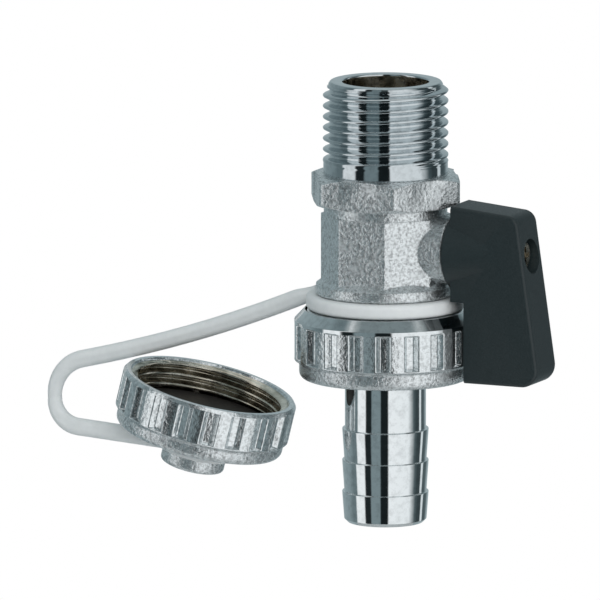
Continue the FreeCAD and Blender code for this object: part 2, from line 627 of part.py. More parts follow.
def make_handle():
    body = new_body("handle")
    inner = f"({HEX_CORNER} + running_gap)"
    step = f"({NUT_RADIUS} + handle_nut_gap)"
    lever = sketch_on(body, "lever", "XZ_Plane")
    outline(lever, [
        (inner, f"{STEM_Z} + handle_rise"),
        ("handle_top_reach", f"{STEM_Z} + handle_outer_rise"),
        ("handle_foot_reach", f"{STEM_Z} - handle_drop"),
        (step, f"{STEM_Z} - handle_drop"),
        (step, f"{STEM_Z} - handle_step_drop"),
        (inner, f"{STEM_Z} - handle_step_drop"),
    ])
    pad = feature(body, "Pad", "lever_pad", lever, Length="handle_thickness")
    pad.SideType = "Symmetric"

    def crosses_at(reach, height):
        def test(edge):
            a, b = edge.Vertexes[0].Point, edge.Vertexes[-1].Point
            there = abs(a.x - number(reach)) + abs(a.z - number(height)) < 1e-3
            return there and abs(a.x - b.x) + abs(a.z - b.z) < 1e-6
        return test

    round_edges(body, "top_corner", "handle_top_round",
                crosses_at("handle_top_reach", f"{STEM_Z} + handle_outer_rise"))
    round_edges(body, "foot_corner", "handle_foot_round",
                crosses_at("handle_foot_reach", f"{STEM_Z} - handle_drop"))

    def is_outer_edge(edge):
        points = [v.Point for v in edge.Vertexes]
        on_face = all(abs(abs(p.y) - number("handle_thickness / 2")) < 1e-4 for p in points)
        return on_face and edge.CenterOfMass.x > number(f"{step} + handle_foot_round / 2")

    round_edges(body, "long_edges", "handle_edge_round", is_outer_edge)
    hub = sketch_on(body, "hub_profile", "XZ_Plane")
    outline(hub, [
        (HUB_IN, STEM_Z),
        (HUB_IN, f"{STEM_Z} + hub_radius"),
        (f"{HUB_IN} + hub_length", f"{STEM_Z} + hub_tip_radius"),
        (f"{HUB_IN} + hub_length", STEM_Z),
    ])
    cone = feature(body, "Revolution", "hub", hub)
    cone.ReferenceAxis = (hub, ["Edge4"])
    cone.Angle = 360

    for name, radius, length in (
        ("nose_recess", "nose_radius + running_gap", f"{NOSE_END} + running_gap"),
        ("screw_passage", "screw_radius + screw_hole_gap", "handle_foot_reach"),
    ):
        hole = sketch_on(body, name + "_outline", "YZ_Plane")
        circle(hole, radius, "0", STEM_Z)
        cut_depth(body, name, hole, length, True)
    square = sketch_on(body, "square_socket_outline", "YZ_Plane")
    half = "(square_size / 2 + square_gap)"
    rectangle(square, f"-{half}", half, f"{STEM_Z} - {half}", f"{STEM_Z} + {half}")
    cut_depth(body, "square_socket", square, WEB_IN, True)
    well = sketch_on(body, "screw_well_outline", "YZ_Plane", WEB_OUT)
    circle(well, "well_radius", "0", STEM_Z)
    cut_depth(body, "screw_well", well, "handle_foot_reach", True)
    return body


def make_screw():
    body = new_body("handle_screw")
    seat = f"({WEB_OUT} + screw_washer_thickness)"
    top = f"({seat} + screw_head_height)"
    revolve(body, "Revolution", "screw_turned", [
        ("0", f"{seat} - screw_length"),
        ("screw_radius", f"{seat} - screw_length"),
        ("screw_radius", seat),
        ("screw_head_radius", seat),
        ("screw_head_radius", top),
        ("0", top),
    ])
    round_edges(body, "head_round", "screw_head_round", lambda e: is_ring(e, "screw_head_radius", top))
    half_width = "(screw_recess_width / 2)"
    half_length = "(screw_recess_length / 2)"
    for name, x, y in (("recess_a", half_width, half_length), ("recess_b", half_length, half_width)):
        arm = sketch_on(body, name + "_outline", "XY_Plane", top)
        rectangle(arm, f"-{x}", x, f"-{y}", y)
        cut_depth(body, name, arm, "screw_recess_depth", False)
    lay_along_x(body)
    washer = stem_ring("screw_washer", "screw_head_radius", "screw_radius + screw_hole_gap", WEB_OUT,
                       "screw_washer_thickness")
    return [body, washer]


# Union nut, hose tail and gasket

def make_ribs(body, name, radius, depth, width, top, length):
    """Cut the grooves between the ribs of a knurled rim, round its whole edge."""
    groove = sketch_on(body, name + "_outline", "XY_Plane", top)
    rectangle(groove, f"{radius} - {depth}", f"2 * {radius}", f"-{width} / 2", f"{width} / 2")
    pocket = cut_depth(body, name, groove, length, False)
    return around(body, name + "_all", pocket, "rib_count")


def make_nut():
    body = new_body("union_nut")
    bore = SCREWED_BORE
    land = f"({bore} + nut_land)"
    cone_foot = f"({NECK_BOTTOM} - nut_chamfer_height)"
    groove_top = f"({cone_foot} - nut_collar)"
    rib_foot = f"({groove_top} - nut_groove_length)"
    revolve(body, "Revolution", "nut_turned", [
        (bore, NECK_BOTTOM),
        (land, NECK_BOTTOM),
        (NUT_RADIUS, cone_foot),
        (NUT_RADIUS, rib_foot),
        (NUT_BAND, f"{rib_foot} - nut_rib_slope"),
        (NUT_BAND, NUT_BOTTOM),
        ("nut_hole_radius", NUT_BOTTOM),
        ("nut_hole_radius", FLANGE_BOTTOM),
        (bore, FLANGE_BOTTOM),
    ])
    round_edges(body, "nut_foot", "nut_foot_round", lambda e: is_ring(e, NUT_BAND, NUT_BOTTOM))
    make_ribs(body, "nut_grooves", NUT_RADIUS, "nut_groove_depth", "nut_groove_width", groove_top,
              "nut_groove_length")
    return body


def make_tail():
    body = new_body("hose_tail")
    collar = "(nut_hole_radius - tail_collar_gap)"
    first_barb = f"({NUT_BOTTOM} - tail_neck_length)"
    profile = [
        ("tail_bore_radius", FLANGE_TOP),
        (TAIL_FLANGE, FLANGE_TOP),
        (TAIL_FLANGE, FLANGE_BOTTOM),
        (collar, FLANGE_BOTTOM),
        (collar, f"{NUT_BOTTOM} + tail_collar_gap"),
        ("tail_neck_radius", f"{NUT_BOTTOM} + tail_collar_gap"),
        ("tail_neck_radius", first_barb),
    ]
    barbs = int(number("barb_count"))
    for barb in range(barbs):
        top = f"({first_barb} - {barb} * barb_pitch)"
        foot = f"({top} - barb_pitch)"
        profile.append(("barb_radius", top))
        if barb < barbs - 1:
            profile.append(("barb_foot_radius", foot))
        else:
            profile.append(("barb_foot_radius", f"{foot} + tail_end_round"))
            profile.append(("barb_foot_radius - tail_end_round", foot))
            profile.append(("tail_bore_radius", foot))
    revolve(body, "Revolution", "tail_turned", profile)
    washer = ring("tail_washer", TAIL_FLANGE, "tail_washer_bore", FLANGE_TOP,
                  "tail_washer_thickness")
    return [body, washer]


# Strap

def make_strap():
    band = new_body("strap_band")
    path = sketch_on(band, "strap_path", "XZ_Plane")
    corners = [(BAND_X, BAND_Z), RUN_END, TURN, LEG_START, LEG_END]
    places = [FreeCAD.Vector(number(x), number(y), 0) for x, y in corners]
    upper = FreeCAD.Vector(places[2].x + number("strap_upper_bend"), places[2].y, 0)
    lower = FreeCAD.Vector(places[2].x + number("strap_lower_bend"), places[2].y, 0)
    slant = math.sqrt(0.5)
    upper_mid = upper + FreeCAD.Vector(-slant, slant, 0) * number("strap_upper_bend")
    lower_mid = lower + FreeCAD.Vector(-slant, -slant, 0) * number("strap_lower_bend")
    run_mid = FreeCAD.Vector(number(RUN_MIDDLE[0]), number(RUN_MIDDLE[1]), 0)
    path.addGeometry(Part.Arc(places[0], run_mid, places[1]), False)
    path.addGeometry(Part.Arc(places[1], upper_mid, places[2]), False)
    path.addGeometry(Part.Arc(places[2], lower_mid, places[3]), False)
    path.addGeometry(Part.LineSegment(places[3], places[4]), False)
    # An arc's two ends are numbered against the clock, whichever way it was drawn
    pin_point(path, 0, 2, *corners[0])
    pin_point(path, 0, 1, *corners[1])
    pin_point(path, 3, 1, *corners[3])
    pin_point(path, 3, 2, *corners[4])
    path.addConstraint(Sketcher.Constraint("Coincident", 1, 1, 0, 1))
    path.addConstraint(Sketcher.Constraint("Coincident", 1, 2, 2, 1))
    path.addConstraint(Sketcher.Constraint("Coincident", 2, 2, 3, 1))
    for arc, size in ((0, "strap_run_bend"), (1, "strap_upper_bend"), (2, "strap_lower_bend")):
        index = path.addConstraint(Sketcher.Constraint("Radius", arc, number(size)))
        bind(path, f"Constraints[{index}]", size)
    pin_point(path, 1, 2, *corners[2])
    doc.recompute()
    section = sketch_on(band, "strap_section", "YZ_Plane")
    section.AttachmentSupport = (path, ["Edge1"])
    section.MapMode = "NormalToEdge"
    section.MapPathParameter = 1
    circle(section, "strap_band_radius")
    doc.recompute()
    pipe = band.newObject("PartDesign::AdditivePipe", "strap_pipe")
    pipe.Profile = section
    pipe.Spine = (path, ["Edge1", "Edge2", "Edge3", "Edge4"])
    doc.recompute()

    collar = new_body("strap_collar")
    top = f"({COLLAR_BOTTOM} - strap_face_gap)"
    bottom = f"({top} - strap_height)"
    revolve(collar, "Revolution", "collar_ring", [
        (RING_INSIDE, top), (RING_OUTSIDE, top), (RING_OUTSIDE, bottom), (RING_INSIDE, bottom),
    ])
    round_edges(collar, "collar_round", "strap_round",
                lambda e: is_ring(e, RING_OUTSIDE, top) or is_ring(e, RING_OUTSIDE, bottom))
    eye = ring("strap_eye", "small_ring_radius", "nub_radius + small_ring_gap", "-small_ring_height / 2",
               "small_ring_height")
    lean(eye)
    # The band's two ends lie inside the rings' walls, so the pieces fuse to one moulding
    whole = doc.addObject("Part::MultiFuse", "strap")
    whole.Shapes = [collar, band, eye]
    whole.Label = "strap"
    return whole


# Cap and its gasket, drawn upright about the middle of the small ring, then leaned over

def lean(thing, rise="0"):
    """Lean a piece of the cap over, with its own origin this far up the cap's axis."""
    thing.Placement.Rotation = FreeCAD.Rotation(FreeCAD.Vector(0, 1, 0), number("cap_tilt"))
    bind(thing, "Placement.Rotation.Angle", "cap_tilt")
    bind(thing, "Placement.Base.x", f"{CAP_X} + {rise} * sin(cap_tilt * 1 deg)")
    bind(thing, "Placement.Base.z", f"{CAP_Z} + {rise} * cos(cap_tilt * 1 deg)")


def make_cap():
    body = new_body("cap")
    bottom = "(small_ring_height / 2 + strap_face_gap)"
    rim = f"({bottom} + cap_height)"
    floor = f"({bottom} + cap_floor)"
    bore = SCREWED_BORE
    rib_foot = f"({rim} - cap_rim - cap_groove_length)"
    head = f"({bottom} + nub_head_height)"
    revolve(body, "Revolution", "cap_turned", [
        ("0", floor),
        (bore, floor),
        (bore, rim),
        (f"{CAP_RADIUS} - cap_rim", rim),
        (CAP_RADIUS, f"{rim} - cap_rim"),
        (CAP_RADIUS, rib_foot),
        (CAP_BAND, f"{rib_foot} - cap_band_step"),
        (CAP_BAND, bottom),
        ("nub_radius", bottom),
        ("nub_radius", f"-{bottom}"),
        ("nub_head_radius", f"-{bottom}"),
        ("nub_head_radius", f"-{head}"),
        ("0", f"-{head}"),
    ])
    round_edges(body, "cap_foot", "cap_foot_round", lambda e: is_ring(e, CAP_BAND, bottom))
    round_edges(body, "nub_round", "nub_head_round", lambda e: is_ring(e, "nub_head_radius", f"-{head}"))
    make_ribs(body, "cap_grooves", CAP_RADIUS, "cap_groove_depth", "cap_groove_width", f"{rim} - cap_rim",
              "cap_groove_length")
    lean(body)
    gasket = solid("Cylinder", "cap_washer", Radius=CAP_WASHER, Height="cap_washer_thickness")
    lean(gasket, floor)
    return [body, gasket]


parts = [make_valve_body(), make_ball()]
parts.append(make_seat("upper_seat", f"{STEM_Z} + seat_front"))
parts.append(make_seat("lower_seat", f"{STEM_Z} - seat_back"))
parts += make_retainer()
parts += make_stem()
parts.append(make_handle())
parts += make_screw()
parts.append(make_nut())
parts += make_tail()
parts.append(make_strap())
parts += make_cap()
doc.recompute()

for thing in doc.Objects:
    if "Invalid" in thing.State or "Error" in thing.State:
        raise RuntimeError(f"{thing.Name} failed: {thing.State}")
for part in parts:
    if part.Shape.isNull() or not part.Shape.isValid() or not part.Shape.Solids:
        raise RuntimeError(f"{part.Label} has no valid shape")

os.makedirs("parts", exist_ok=True)
for part in parts:
    part.Shape.exportStep(f"parts/{part.Label}.step")
    print(f"{part.Label}: {len(part.Shape.Solids)} solid, {part.Shape.Volume:.1f} mm3")
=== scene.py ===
import json
import math

import bmesh
import bpy
from mathutils import Matrix, Vector


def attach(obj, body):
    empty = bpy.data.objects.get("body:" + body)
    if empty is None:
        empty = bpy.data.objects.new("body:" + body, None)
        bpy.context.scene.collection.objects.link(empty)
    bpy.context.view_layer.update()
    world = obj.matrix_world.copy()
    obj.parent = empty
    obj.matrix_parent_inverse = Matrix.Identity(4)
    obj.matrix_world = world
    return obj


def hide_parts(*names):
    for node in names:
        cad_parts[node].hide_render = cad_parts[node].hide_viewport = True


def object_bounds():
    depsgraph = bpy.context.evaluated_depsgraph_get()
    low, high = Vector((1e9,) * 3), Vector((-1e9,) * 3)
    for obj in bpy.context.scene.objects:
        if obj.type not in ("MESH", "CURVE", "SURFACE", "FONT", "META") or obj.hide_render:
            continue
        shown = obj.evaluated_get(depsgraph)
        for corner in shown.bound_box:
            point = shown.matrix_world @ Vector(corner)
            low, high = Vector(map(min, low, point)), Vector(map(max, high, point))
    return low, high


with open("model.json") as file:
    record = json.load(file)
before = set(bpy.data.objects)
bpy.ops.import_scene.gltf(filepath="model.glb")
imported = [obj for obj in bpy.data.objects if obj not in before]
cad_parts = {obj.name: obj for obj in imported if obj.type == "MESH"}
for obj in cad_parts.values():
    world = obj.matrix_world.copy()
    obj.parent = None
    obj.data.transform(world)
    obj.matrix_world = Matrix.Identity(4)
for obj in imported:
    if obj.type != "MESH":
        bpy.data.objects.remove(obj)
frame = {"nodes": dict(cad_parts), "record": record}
cad_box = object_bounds()

# Drain cock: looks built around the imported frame. Shapes are worked out in millimetres and scaled to metres
# when a mesh is made. The flow axis is Z, with zero at the shoulder below the inlet; the stem lies along +X.
MM = 0.001

# Camera: so far off that it sees almost without perspective; distance in metres
CAMERA_AZIMUTH = math.radians(24.0)
CAMERA_ELEVATION = math.radians(9.5)
CAMERA_DISTANCE = 4.0
CAMERA_TARGET = (-13.02, -5.80, -21.5)
PICTURE_WIDTH = 100.0
SENSOR = 36.0
RIGHT = Vector((math.cos(CAMERA_AZIMUTH), math.sin(CAMERA_AZIMUTH), 0))
FRONT = Vector((math.sin(CAMERA_AZIMUTH), -math.cos(CAMERA_AZIMUTH), 0))
UP = Vector((0, 0, 1))

# Fineness of the meshes
ROUND_SIDES = 288
TAIL_SIDES = 256
THREAD_ROWS = 12
CORNER_STEPS = 4
BAND_STEPS = 6
SHARP_EDGE = math.radians(28.0)

# Corners: the share of an edge that a rounding may take, and the gap to the row that stands beside it
CORNER_SHARE = 0.45
ROW_GAP = 0.12
ROW_GAP_BY_CUT = 0.2
ROW_GAP_BY_EDGE = 0.1
SUPPORT = 0.15

# How far off a level or a wall a point may lie and still count as on it
SLACK = 0.01
WALL_SLACK = 0.05

# Roundings of edges, from crisp to full
CRISP = 0.05
KEEN = 0.08
FINE = 0.1
SMALL = 0.15
SOFT = 0.2
FULL = 0.3

# Pipe threads: half-inch inlet, three-quarter-inch outlet
PITCH = 1.814
THREAD_DEPTH = 1.1
THREAD_RUN = 0.5  # over which a thread fades out
FLANK_START = 0.08  # shares of half a pitch, from crest to root
FLANK_END = 0.86
INLET_RADIUS = 10.4775
OUTLET_RADIUS = 13.2205
THREAD_PLAY = 0.15
SCREWED_BORE = OUTLET_RADIUS + THREAD_PLAY

# Heights down the flow axis
INLET_TOP = 15.5
HEX_BOTTOM = -5.0
NECK_BOTTOM = -22.9
OUTLET_LENGTH = 7.0
TAIL_WASHER = 1.6
FLANGE_THICKNESS = 1.5
NUT_LIP = 1.6
OUTLET_END = NECK_BOTTOM - OUTLET_LENGTH
FLANGE_TOP = OUTLET_END - TAIL_WASHER
FLANGE_BOTTOM = FLANGE_TOP - FLANGE_THICKNESS
NUT_BOTTOM = FLANGE_BOTTOM - NUT_LIP

# Inlet: bore, lip above the thread, lead-in bevel of the thread, plain neck below it
INLET_BORE = 7.2
BORE_MIDDLE = 7.0
BARE_FROM = 0.35  # depth below the rim where the plate ends
LIP_HEIGHT = 0.75
LIP_STEP = 0.2
LIP_BEVEL = 0.35
LIP_FOOT = 0.25
LEAD_START = 0.15  # the bevel above the thread's root, at the lip
LEAD_SLOPE = 1.3  # growth of the bevel's radius with each millimetre down
LIP_RUN = 0.05
CREST_SETBACK = 0.02
INLET_NECK = 2.1
NECK_SETBACK = 0.1
NECK_RUN = 0.9
NECK_ROWS = (0.2, 0.5)  # rows below the thread that keep the shading even

# Forged middle: the hexagon's growth, and where the turned ends join
HEX_INSIDE = 10.8  # the hexagon's corners and faces lie outside this radius
HEX_GROWTH = 1.024
JOIN = 0.02
JOIN_TOP = JOIN
JOIN_BOTTOM = NECK_BOTTOM + JOIN

# Outlet
NECK_RADIUS = 11.0
RETAINER_BORE = 9.0
OUTLET_EDGE = 0.3
OUTLET_CHAMFER = 0.8
OUTLET_LEAD = 0.9  # thread's end to the outlet's end
OUTLET_ROW = 0.1
SHOULDER_ROW = 0.2

# Grooves between the ribs of nut and cap, with rows close together at their ends and wide apart between
RIB_COUNT = 20
HALF_MOUTH = 1.3  # half widths of a groove
HALF_FLOOR = 0.6
GROOVE_END = 0.35  # slope at a groove's end
# Places across half a groove and half a rib where the mesh has an edge
GROOVE_MARKS = [
    HALF_FLOOR - 0.12, HALF_FLOOR, HALF_FLOOR + 0.14, HALF_MOUTH - 0.14, HALF_MOUTH,
    HALF_MOUTH + 0.12, HALF_MOUTH + 0.35, HALF_MOUTH + 0.7,
]
END_ZONE = 0.6
END_GAP = 0.1
WIDE_FROM = 1.2
WIDE_GAP = 0.8
RIB_STEP = 0.1
RIB_SLOPE = 0.6
FOOT_FROM = 0.2  # end of the grooves to the forged skin below
BAND_ROUND = 2.0

# Union nut
NUT_RADIUS = 15.2
NUT_BAND = 14.4
NUT_CONE = 1.7
NUT_COLLAR = 0.6
NUT_MOUTH = 0.2
NUT_HOLE = 7.6
NUT_GROOVE = 1.1
NUT_GROOVE_LENGTH = 6.1
NUT_FIRST_ROW = 0.1
NUT_THREAD_TOP = 0.6
NUT_THREAD_FOOT = 0.5
NUT_RELIEF = 1.0
NUT_TURN = math.radians(4.5)  # place of the first groove round the axis

# Hose tail
TAIL_BORE = 5.2
FLANGE_RADIUS = 12.7
COLLAR_PLAY = 0.2
TAIL_COLLAR = NUT_HOLE - COLLAR_PLAY
COLLAR_STEP = 0.2
TAIL_NECK = 6.76
TAIL_NECK_LENGTH = 8.4
BARB_RADIUS = 7.22
BARB_FOOT = 6.85
BARB_LIP = 0.05
BARB_ROUND = 0.12
BARB_PITCH = 5.3
BARB_COUNT = 3
TAIL_END = 6.25
END_CHAMFER = 0.6
CHAMFER_RADIUS = 6.87

# Cap, measured along its axis from the middle of the strap's small ring
CAP_BOTTOM = 1.0
CAP_FLOOR = CAP_BOTTOM + 2.2
CAP_RIM = CAP_BOTTOM + 9.3
CAP_PLAIN = CAP_BOTTOM + 2.9  # where the grooves end
CAP_RADIUS = 14.8
CAP_BAND = 14.2
CAP_GROOVE = 0.9
CAP_TURN = math.radians(9.0)
CAP_THREAD_FOOT = CAP_FLOOR + 2.0
CAP_THREAD_TOP = CAP_RIM - 0.4
CAP_THREAD_RUN = 0.2
RIM_BEVEL = 0.25
RIM_INSIDE = 0.35
RIM_SLOPE = 0.45
RIM_FOOT = 0.6
RIM_END = 0.8
RIM_ROWS = 0.72  # rim to the first row of the ribs
RIM_ZONE = 0.38  # stretch of rows close together
RIM_GAP = 0.12
RIM_WIDE = 1.6  # rim to where rows stand wide apart
GROOVE_OVERRUN = 1.0  # the grooves run out over the rim
NUB_RADIUS = 4.0
NUB_HEAD = 5.4
NUB_END = -3.9
NUB_ROUND = 0.6

# Strap: its skin, and the swell of the band on its outer side
STRAP_FACE = 0.22
STRAP_ROUNDS = 8
BAND_NEAR = -13.0  # where the band leaves the ring, along X
BAND_BLEND = 4.0
BAND_TURN = -42.5  # height that parts the upper run from the lower one
BAND_SWELL = 0.6

# Screw in the handle's well
SCREW_HEAD = 1.5  # the head's share of the screw
SCREW_RISE = 0.6

# Studio, in metres and watts
KEY_POWER = 5.0
KEY_SIZE = 0.8
KEY_RISE = 0.5
KEY_DISTANCE = 1.2
FLOOR_RADIUS = 0.3
FLOOR_DROP = 0.35
WHITE_LIGHT = (1, 1, 1, 1)

# Degrees to the right of the camera, seen from the object, and the brightness of the studio there
PANEL_STOPS = [
    (-180, 0.45), (-150, 0.35), (-112, 0.28), (-101, 0.2), (-88, 0.2), (-85, 0.95), (-60, 0.95), (-57, 0.02),
    (-42, 0.02), (-39, 0.26), (-15, 0.26), (-12.5, 0.015), (6.5, 0.015), (9, 0.95), (68, 0.92), (88, 0.12),
    (98, 0.06), (111, 0.06), (114, 0.8), (121, 0.8), (124, 0.1), (140, 0.12), (155, 0.4), (180, 0.45),
]
CEILING_BACK = (0.66, 0.68, 0.68)
CEILING_FRONT = (0.20, 0.24, 0.25)
CEILING_BLEND = 0.12
CEILING_EDGE = 0.86  # sine of the elevation where it starts
CEILING_FULL = 0.92

# Tone of the panels: red taken out and blue put in as they get darker
RED_LOSS = 0.28
BLUE_GAIN = 0.07
BLUE_BASE = 1.01


# Profiles

def step(low, high, value):
    """Smooth step from 0 to 1."""
    t = min(max((value - low) / (high - low), 0.0), 1.0)
    return t * t * (3 - 2 * t)


def rounded(corners, steps=CORNER_STEPS):
    """A closed outline with its corners rounded; each corner is radius, height and rounding."""
    points = []
    for i, (x, y, fillet) in enumerate(corners):
        here = Vector((x, y))
        if fillet == 0:
            points.append((x, y))
            continue
        back = Vector(corners[i - 1][:2]) - here
        ahead = Vector(corners[(i + 1) % len(corners)][:2]) - here
        reach = CORNER_SHARE * min(back.length, ahead.length)
        back.normalize()
        ahead.normalize()
        half = back.angle(ahead) / 2
        cut = min(fillet / math.tan(half), reach)
        centre = here + (back + ahead).normalized() * (cut / math.cos(half))
        start = here + back * cut - centre
        end = here + ahead * cut - centre
        sweep = start.angle(end)
        margin = min(ROW_GAP, cut * ROW_GAP_BY_CUT + reach * ROW_GAP_BY_EDGE)
        points.append(tuple(here + back * (cut + margin)))
        for k in range(steps + 1):
            t = k / steps
            spoke = (start * math.sin((1 - t) * sweep) + end * math.sin(t * sweep)) / math.sin(sweep)
            points.append(tuple(centre + spoke))
        points.append(tuple(here + ahead * (cut + margin)))
    return points


def thread_rows(low, high, major, run_low=THREAD_RUN, run_high=THREAD_RUN):
    """Rows of a right-hand screw thread from the top down, which fades out over a run at either end."""
    turns = (high - low) / PITCH
    rows = []
    for i in range(int((turns + 1) * THREAD_ROWS) + 1):
        along = turns - i / THREAD_ROWS
        cut = step(FLANK_START, FLANK_END, abs(along % 1.0 - 0.5) * 2)

        def row(angle, along=along, cut=cut):
            z = min(max(low + PITCH * (along + angle / math.tau), low), high)
            fade = step(0, run_low, z - low) * step(0, run_high, high - z)
            return major - THREAD_DEPTH * cut * fade, z
        rows.append(row)
    return rows


def spaced(high, low, gap):
    """Heights from high to low, about a gap apart."""
    count = max(2, round(abs(high - low) / gap) + 1)
    return [high + (low - high) * i / (count - 1) for i in range(count)]


def even(count):
    """Angles spaced evenly over a full turn."""
    return [math.tau * j / count for j in range(count + 1)]


# Meshes

def loft(rows, angles, closed=True):
    """A skin over rows round the Z axis; each row is a radius and a height, or gives them for an angle."""
    mesh = bmesh.new()
    rings = []
    for row in rows:
        ring = []
        for angle in angles:
            radius, z = row(angle) if callable(row) else row
            ring.append(mesh.verts.new((radius * math.cos(angle), radius * math.sin(angle), z)))
        rings.append(ring)
    if closed:
        rings.append(rings[0])
    for upper, lower in zip(rings, rings[1:]):
        for j in range(len(angles) - 1):
            mesh.faces.new((upper[j], lower[j], lower[j + 1], upper[j + 1]))
    bmesh.ops.remove_doubles(mesh, verts=mesh.verts, dist=1e-5)
    bmesh.ops.recalc_face_normals(mesh, faces=mesh.faces)
    return mesh


def copied(node):
    """A copy of a CAD node's mesh in millimetres, with its sharp edges marked."""
    mesh = bmesh.new()
    mesh.from_mesh(frame["nodes"][node].data)
    bmesh.ops.scale(mesh, vec=(1 / MM, 1 / MM, 1 / MM), verts=mesh.verts)
    bmesh.ops.remove_doubles(mesh, verts=mesh.verts, dist=1e-4)
    for edge in mesh.edges:
        edge.smooth = edge.calc_face_angle(0) < SHARP_EDGE
    return mesh


def cut_level(mesh, height, keep_below):
    """Cut a mesh level at a height and close it there."""
    cut = bmesh.ops.bisect_plane(
        mesh, geom=mesh.verts[:] + mesh.edges[:] + mesh.faces[:], dist=1e-5, plane_co=(0, 0, height),
        plane_no=(0, 0, 1 if keep_below else -1), clear_outer=True)
    edges = [item for item in cut["geom_cut"] if isinstance(item, bmesh.types.BMEdge)]
    bmesh.ops.triangle_fill(mesh, edges=edges, use_beauty=True)
    for edge in edges:
        edge.smooth = False


def eased(mesh, size, rounds):
    """The same shape skinned anew with even faces, its creases softened."""
    data = bpy.data.meshes.new("draft")
    mesh.to_mesh(data)
    mesh.free()
    draft = bpy.data.objects.new("draft", data)
    bpy.context.scene.collection.objects.link(draft)
    skin = draft.modifiers.new("skin", "REMESH")
    skin.mode = "VOXEL"
    skin.voxel_size = size
    ease = draft.modifiers.new("ease", "SMOOTH")
    ease.factor = 0.5
    ease.iterations = rounds
    fresh = bmesh.new()
    fresh.from_object(draft, bpy.context.evaluated_depsgraph_get())
    bpy.data.objects.remove(draft)
    return fresh


def piece(name, mesh, materials, body, node):
    """Turn a mesh in millimetres into a piece of the object that stands for a CAD node."""
    bmesh.ops.scale(mesh, vec=(MM, MM, MM), verts=mesh.verts)
    for face in mesh.faces:
        face.smooth = True
    data = bpy.data.meshes.new(name)
    mesh.to_mesh(data)
    mesh.free()
    for material in materials:
        data.materials.append(material)
    thing = bpy.data.objects.new(name, data)
    bpy.context.scene.collection.objects.link(thing)
    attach(thing, body)
    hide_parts(node)


# Parts of materials

def new_material(name):
    material = bpy.data.materials.new(name)
    material.use_nodes = True
    nodes = material.node_tree.nodes
    return material, nodes, material.node_tree.links, nodes["Principled BSDF"]


def noise(nodes, links, scale, detail=2.0, roughness=0.5):
    """Noise in the object's own space; scale is in features a metre."""
    place = nodes.new("ShaderNodeTexCoord")
    texture = nodes.new("ShaderNodeTexNoise")
    texture.inputs["Scale"].default_value = scale
    texture.inputs["Detail"].default_value = detail
    texture.inputs["Roughness"].default_value = roughness
    links.new(place.outputs["Object"], texture.inputs["Vector"])
    return texture.outputs["Fac"]


def spread(nodes, links, value, low, high, start=0.35, stop=0.65):
    """Map a value's range, by default the middle of a noise, to another range."""
    mapping = nodes.new("ShaderNodeMapRange")
    mapping.inputs["From Min"].default_value = start
    mapping.inputs["From Max"].default_value = stop
    mapping.inputs["To Min"].default_value = low
    mapping.inputs["To Max"].default_value = high
    links.new(value, mapping.inputs["Value"])
    return mapping.outputs["Result"]


def tint(nodes, links, value, dark, light, start=0.35, stop=0.65):
    """Map a value's range to colours between two."""
    ramp = nodes.new("ShaderNodeValToRGB")
    ramp.color_ramp.elements[0].position = start
    ramp.color_ramp.elements[0].color = (*dark, 1)
    ramp.color_ramp.elements[1].position = stop
    ramp.color_ramp.elements[1].color = (*light, 1)
    links.new(value, ramp.inputs["Fac"])
    return ramp.outputs["Color"]


def bump(nodes, links, shader, height, depth):
    """Relief from a height, its depth in millimetres."""
    node = nodes.new("ShaderNodeBump")
    node.inputs["Distance"].default_value = depth * MM
    links.new(height, node.inputs["Height"])
    links.new(node.outputs["Normal"], shader.inputs["Normal"])
    return node


# Materials

CHROME = (0.82, 0.86, 0.87)
# Chrome plate darkened as painted shade, for the inlet's thread and neck
PAINTED_SHADE_CHROME = (0.62, 0.67, 0.69)


def chrome(name, roughness, grain_size, grain_depth, speckle, metallic=1.0, edge=0.0, plate=CHROME):
    """Chrome plate; the grain's size and depth and the softening of sharp edges are in millimetres."""
    material, nodes, links, shader = new_material(name)
    shader.inputs["Metallic"].default_value = metallic
    haze = noise(nodes, links, scale=350, detail=3)
    grain = noise(nodes, links, scale=1 / (grain_size * MM), detail=3, roughness=0.6)
    speck = tuple(speckle * part for part in plate)
    links.new(tint(nodes, links, grain, speck, plate, start=0.33, stop=0.56), shader.inputs["Base Color"])
    links.new(spread(nodes, links, haze, roughness * 0.7, roughness * 1.3), shader.inputs["Roughness"])
    relief = bump(nodes, links, shader, grain, grain_depth)
    if edge:
        soft = nodes.new("ShaderNodeBevel")
        soft.samples = 6
        soft.inputs["Radius"].default_value = edge * MM
        links.new(soft.outputs["Normal"], relief.inputs["Normal"])
    return material


def bare_metal(name, dark, light, smooth, rough, stain_scale, stain_detail, grain_scale, grain_depth):
    """Turned metal without plate, stained between two colours and between smooth and rough."""
    material, nodes, links, shader = new_material(name)
    shader.inputs["Metallic"].default_value = 1.0
    stain = noise(nodes, links, stain_scale, stain_detail)
    links.new(tint(nodes, links, stain, dark, light), shader.inputs["Base Color"])
    links.new(spread(nodes, links, stain, smooth, rough), shader.inputs["Roughness"])
    bump(nodes, links, shader, noise(nodes, links, grain_scale), grain_depth)
    return material


def dulled_metal(name, dark, light):
    return bare_metal(name, dark, light, smooth=0.12, rough=0.3, stain_scale=450, stain_detail=4,
                      grain_scale=1500, grain_depth=0.02)


def turned_metal(name, dark, light, roughness):
    return bare_metal(name, dark, light, smooth=roughness - 0.06, rough=roughness + 0.08, stain_scale=900,
                      stain_detail=3, grain_scale=2500, grain_depth=0.01)


